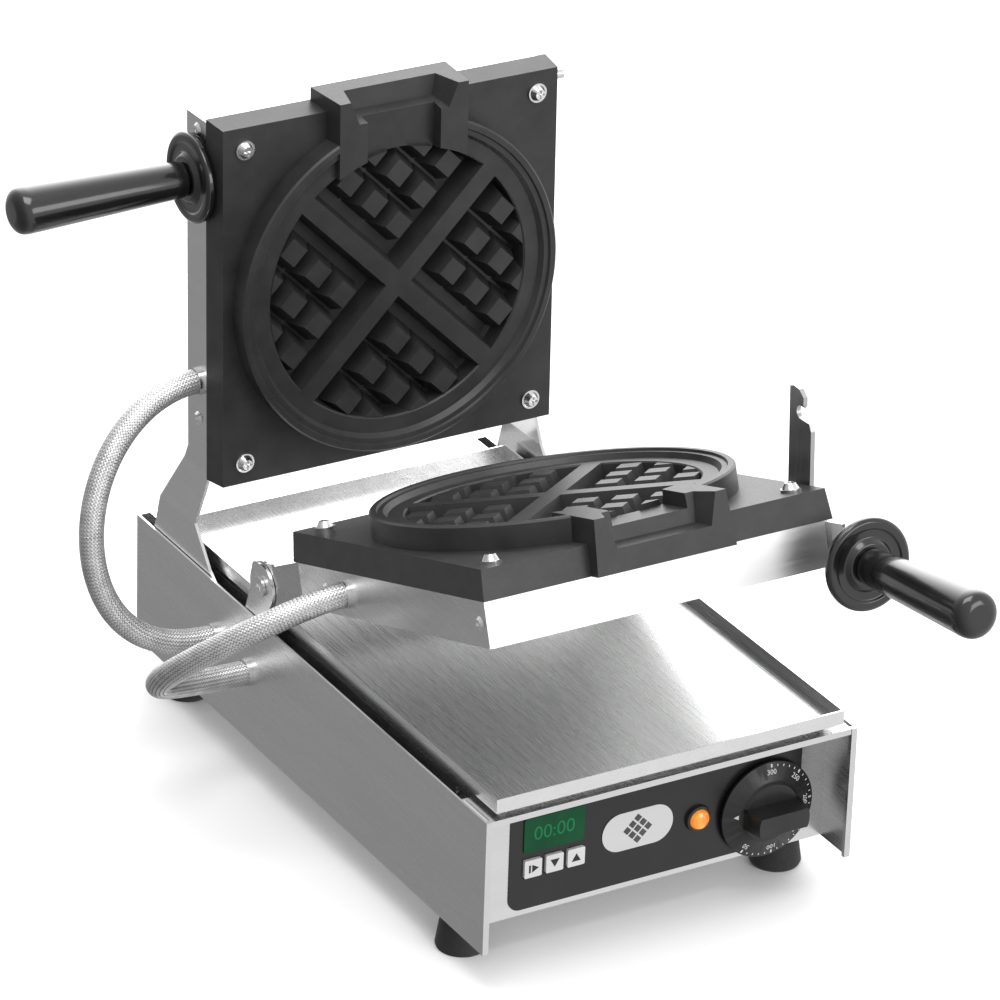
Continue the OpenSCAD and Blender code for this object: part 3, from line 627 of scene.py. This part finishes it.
def printed(name, text, size, place, mat, body, depth=0.15):
    """Raised lettering, centred on a placing's origin and facing its +Z."""
    curve = bpy.data.curves.new(name, "FONT")
    curve.body = text
    curve.size = size
    curve.align_x = curve.align_y = "CENTER"
    curve.extrude = depth / 2
    holder = bpy.data.objects.new(name + "_text", curve)
    mesh = bpy.data.meshes.new_from_object(holder)
    bpy.data.objects.remove(holder)
    mesh.transform(place)
    return add_piece(name, mesh, [mat], body)


def prism(name, outline, place, mat, body, depth=0.3):
    """An outline in a placing's XY plane, raised along its +Z."""
    bm = bmesh.new()
    face = bm.faces.new([bm.verts.new((x, y, 0)) for x, y in outline])
    solid = bmesh.ops.extrude_face_region(bm, geom=[face])
    top = [v for v in solid["geom"] if isinstance(v, bmesh.types.BMVert)]
    bmesh.ops.translate(bm, verts=top, vec=(0, 0, depth))
    bmesh.ops.recalc_face_normals(bm, faces=bm.faces)
    mesh = bpy.data.meshes.new(name)
    bm.to_mesh(mesh)
    bm.free()
    mesh.transform(place)
    return add_piece(name, mesh, [mat], body)


def front(x, y, z):
    """Placing on the control panel: X right, Y up, Z towards the viewer."""
    return BASE @ moved(x, y, z) @ turned(x=90)


DIAL_TOP = 88
DEGREES_PER_STEP = 42.6
SKIRT_R = 32.5
SKIRT_H = 3
SKIRT_RISE, SKIRT_RUN = 2.5, 11.5
SKIRT_SLOPE = math.degrees(math.atan2(SKIRT_RISE, SKIRT_RUN))
FILM_PRINT = 0.12


def on_skirt(angle, r):
    """Placing on the dial's sloping skirt, its Y outward at an angle from the right."""
    height = SKIRT_H + (SKIRT_R - r) * SKIRT_RISE / SKIRT_RUN
    return DIAL @ turned(z=angle - 90) @ moved(0, r, height) @ turned(x=-SKIRT_SLOPE)


def dial_angle(value):
    """Where a temperature stands on the dial; the scale falls clockwise from 300 at the top."""
    return DIAL_TOP - (300 - value) / 50 * DEGREES_PER_STEP


for value in range(50, 301, 10):
    wide = 0.55 if value % 50 == 0 else 0.3
    long = 1.1 if value % 50 == 0 else 0.7
    prism(f"dial_tick_{value}", [(-wide, -long), (wide, -long), (wide, long), (-wide, long)],
          on_skirt(dial_angle(value), 30.4), WHITE_PRINT, "dial", FILM_PRINT)
for value in range(50, 301, 50):
    printed(f"dial_number_{value}", str(value), 4.6, on_skirt(dial_angle(value), 26.3),
            WHITE_PRINT, "dial")
prism("dial_pointer", [(-1.6, -1.4), (1.6, -1.4), (0, 1.8)], on_skirt(178, 23.4), WHITE_PRINT,
      "dial", FILM_PRINT)
softened("thermostat_knob", 0.8)

START_X, DOWN_X, UP_X = -79.5, -64.5, -49.5
KEY_Z = 58
MARK = 2.6
WIDE_MARK = 3.1
INK = 0.15
prism("start_symbol", [(-2.2, -MARK), (2.4, 0), (-2.2, MARK)],
      front(START_X + 1.4, KEY_Y, KEY_Z), PRINT, "start_key", INK)
prism("stop_symbol", [(-0.6, -MARK), (0.6, -MARK), (0.6, MARK), (-0.6, MARK)],
      front(START_X - 2.4, KEY_Y, KEY_Z), PRINT, "start_key", INK)
prism("down_symbol", [(0, -MARK), (WIDE_MARK, MARK), (-WIDE_MARK, MARK)],
      front(DOWN_X, KEY_Y, KEY_Z), PRINT, "down_key", INK)
prism("up_symbol", [(-WIDE_MARK, -MARK), (WIDE_MARK, -MARK), (0, MARK)],
      front(UP_X, KEY_Y, KEY_Z), PRINT, "up_key", INK)

printed("display_digits", "00:00", 13, front(-65, DISPLAY_Y, 80.5), SEGMENT, "base",
        0.1)

# the name plate's mark: a plain grid of squares on its corner
SQUARE = 2
SQUARE_PITCH = 5.2
BADGE_FACE = front(-6, BADGE_Y, 66) @ turned(z=45)
for column in range(3):
    for row in range(3):
        x, y = SQUARE_PITCH * (column - 1), SQUARE_PITCH * (row - 1)
        prism(f"badge_square_{column}_{row}",
              [(x - SQUARE, y - SQUARE), (x + SQUARE, y - SQUARE),
               (x + SQUARE, y + SQUARE), (x - SQUARE, y + SQUARE)],
              BADGE_FACE, BADGE_INK, "base", FILM_PRINT)
